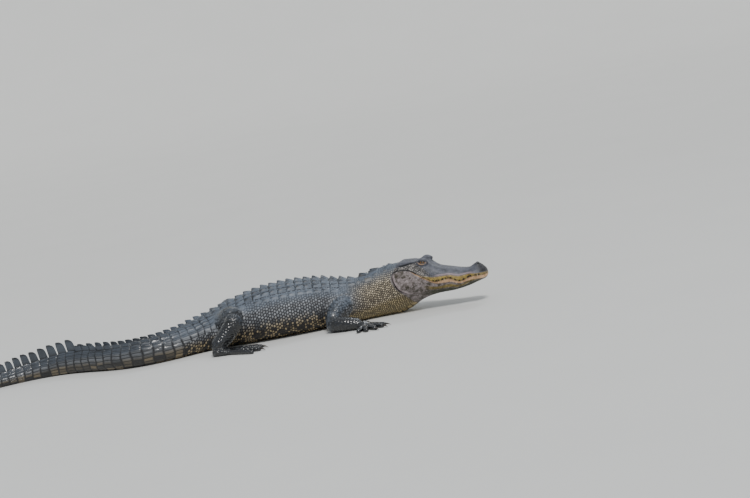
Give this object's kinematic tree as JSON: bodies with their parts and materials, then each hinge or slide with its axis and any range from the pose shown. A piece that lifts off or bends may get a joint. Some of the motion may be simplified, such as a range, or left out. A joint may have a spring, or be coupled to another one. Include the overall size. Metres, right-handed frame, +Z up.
{
  "type": "american alligator",
  "caption": "Life-size resting alligator in one still pose: head raised, belly and throat on the floor, legs folded, tail laid in a long S.",
  "frame": {"origin": "on the floor, below the middle of the whole animal's box", "axes": "+X towards the snout, +Y to the animal's left, +Z up from the floor"},
  "size_m": [1.9944, 0.6192, 0.1867],
  "materials": {
    "hide": "dry, scaled, satin",
    "jaw_skin": "satin",
    "limb_skin": "damp, glossy",
    "eye": "wet gloss"
  },
  "bodies": {
    "root": {"eye_left": "eye", "eye_right": "eye", "forearm_left": "limb_skin", "forearm_right": "limb_skin", "forefoot_left": "limb_skin", "forefoot_right": "limb_skin", "head_upper": "hide", "hind_foot_left": "limb_skin", "hind_foot_right": "limb_skin", "lower_jaw": "jaw_skin", "neck": "hide", "shank_left": "limb_skin", "shank_right": "limb_skin", "tail_1": "hide", "tail_2": "hide", "tail_3": "hide", "tail_4": "hide", "tail_5": "hide", "thigh_left": "limb_skin", "thigh_right": "limb_skin", "torso_front": "hide", "torso_rear": "hide", "upper_arm_left": "limb_skin", "upper_arm_right": "limb_skin"}
  },
  "joints": []
}
